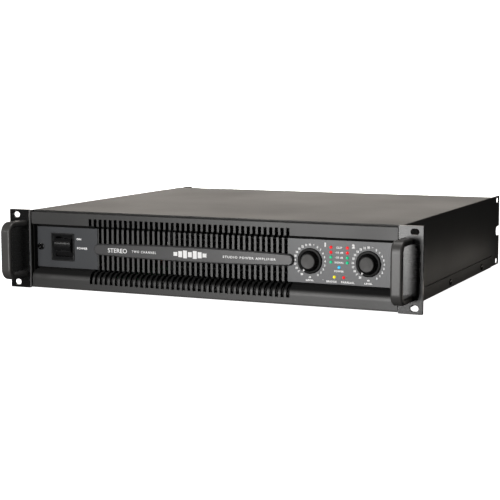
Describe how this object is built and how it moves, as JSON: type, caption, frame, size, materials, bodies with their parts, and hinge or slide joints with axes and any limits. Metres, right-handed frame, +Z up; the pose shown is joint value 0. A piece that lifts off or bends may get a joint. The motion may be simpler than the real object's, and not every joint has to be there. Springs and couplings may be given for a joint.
{
  "type": "power amplifier",
  "caption": "Rack-mount stereo power amplifier with slotted fascia, bowed name bar, gain knobs, rocker switch, level lamps, D handles, rear supports and cooling fan.",
  "frame": {"origin": "centre of the four front rack slots, on the front face of the rack ears", "axes": "+X to the right seen from the front, +Y towards the rear, +Z up"},
  "size_m": [0.4826, 0.438, 0.0882],
  "materials": {
    "case_paint": "fine-textured black powder coat",
    "fascia_paint": "charcoal satin paint on cast aluminium",
    "plate_paint": "charcoal satin paint with white printing",
    "ear_finish": "black anodised aluminium",
    "handle_finish": "satin black paint",
    "black_plastic": "moulded",
    "gloss_black": "polished moulding",
    "cap_metal": "dished, dark satin",
    "steel": "zinc-plated",
    "black_screw": "blacked steel",
    "lamp_red": "tinted lens",
    "lamp_green": "tinted lens",
    "lamp_blue": "tinted lens",
    "lamp_yellow": "tinted lens",
    "circuit_board": "solder-masked laminate",
    "heat_sink": "black anodised",
    "guard_chrome": "bright plated wire",
    "capacitor_sleeve": "shrink sleeve",
    "ferrite": "sintered",
    "copper_winding": "enamelled wire",
    "button_red": "moulded"
  },
  "bodies": {
    "amplifier": {"amplifier_board": "circuit_board", "board_standoffs": "steel", "breaker_body": "black_plastic", "chassis_pan": "case_paint", "control_plate": "plate_paint", "display_board": "circuit_board", "ear_screws": "black_screw", "fan_frame": "black_plastic", "fan_guard": "guard_chrome", "fan_screws": "black_screw", "fascia": "fascia_paint", "filter_capacitors": "capacitor_sleeve", "grille_panel": "fascia_paint", "handle_left": "handle_finish", "handle_right": "handle_finish", "handle_screws": "steel", "heat_sink_left": "heat_sink", "heat_sink_right": "heat_sink", "input_board": "circuit_board", "led_blue": "lamp_blue", "led_green": "lamp_green", "led_red": "lamp_red", "led_yellow": "lamp_yellow", "mains_choke": "copper_winding", "mains_inlet": "black_plastic", "mode_switch_body": "black_plastic", "name_bar": "fascia_paint", "output_inductors": "copper_winding", "output_transistors": "black_plastic", "plate_screws": "black_screw", "pot_nuts": "steel", "potentiometer_1": "steel", "potentiometer_2": "steel", "power_supply_board": "circuit_board", "power_switch_bezel": "black_plastic", "power_switch_body": "black_plastic", "power_transformer": "ferrite", "rack_ear_left": "ear_finish", "rack_ear_right": "ear_finish", "rear_panel": "case_paint", "rear_panel_screws": "black_screw", "side_screws": "black_screw", "speaker_socket_1": "black_plastic", "speaker_socket_2": "black_plastic", "switch_plate": "plate_paint", "top_cover": "case_paint", "xlr_input_1": "black_plastic", "xlr_input_2": "black_plastic"},
    "power_rocker": {"power_switch_rocker": "gloss_black"},
    "gain_control_1": {"gain_knob_1": "black_plastic", "knob_cap_1": "cap_metal", "pot_shaft_1": "steel"},
    "gain_control_2": {"gain_knob_2": "black_plastic", "knob_cap_2": "cap_metal", "pot_shaft_2": "steel"},
    "fan_impeller": {"fan_rotor": "black_plastic"},
    "reset_button": {"breaker_button": "button_red"},
    "input_latch_1": {"xlr_latch_1": "steel"},
    "input_latch_2": {"xlr_latch_2": "steel"},
    "mode_slider": {"mode_switch_slider": "gloss_black"}
  },
  "joints": [
    {"name": "power_rocker_turn", "type": "hinge", "parent": "amplifier", "child": "power_rocker", "pos_m": [-0.1798, 0.0195, 0.0024], "axis": [-1, 0, 0], "range_deg": [0, 14]},
    {"name": "gain_1_turn", "type": "hinge", "parent": "amplifier", "child": "gain_control_1", "pos_m": [0.1172, 0.012, 0.0021], "axis": [0, 1, 0], "range_deg": [0, 296]},
    {"name": "gain_2_turn", "type": "hinge", "parent": "amplifier", "child": "gain_control_2", "pos_m": [0.1807, 0.012, 0.0021], "axis": [0, 1, 0], "range_deg": [0, 296]},
    {"name": "fan_spin", "type": "hinge", "parent": "amplifier", "child": "fan_impeller", "pos_m": [0, 0.355, 0], "axis": [0, 1, 0], "continuous": true},
    {"name": "reset_push", "type": "slide", "parent": "amplifier", "child": "reset_button", "axis": [0, -1, 0], "range_m": [0, 0.003], "stiffness_N_per_m": 300, "springref_m": -0.001},
    {"name": "latch_1_press", "type": "slide", "parent": "amplifier", "child": "input_latch_1", "axis": [0, 0, -1], "range_m": [0, 0.0015], "stiffness_N_per_m": 300, "springref_m": -0.001},
    {"name": "latch_2_press", "type": "slide", "parent": "amplifier", "child": "input_latch_2", "axis": [0, 0, -1], "range_m": [0, 0.0015], "stiffness_N_per_m": 300, "springref_m": -0.001},
    {"name": "mode_slide", "type": "slide", "parent": "amplifier", "child": "mode_slider", "axis": [1, 0, 0], "range_m": [-0.0033, 0.0033]}
  ]
}
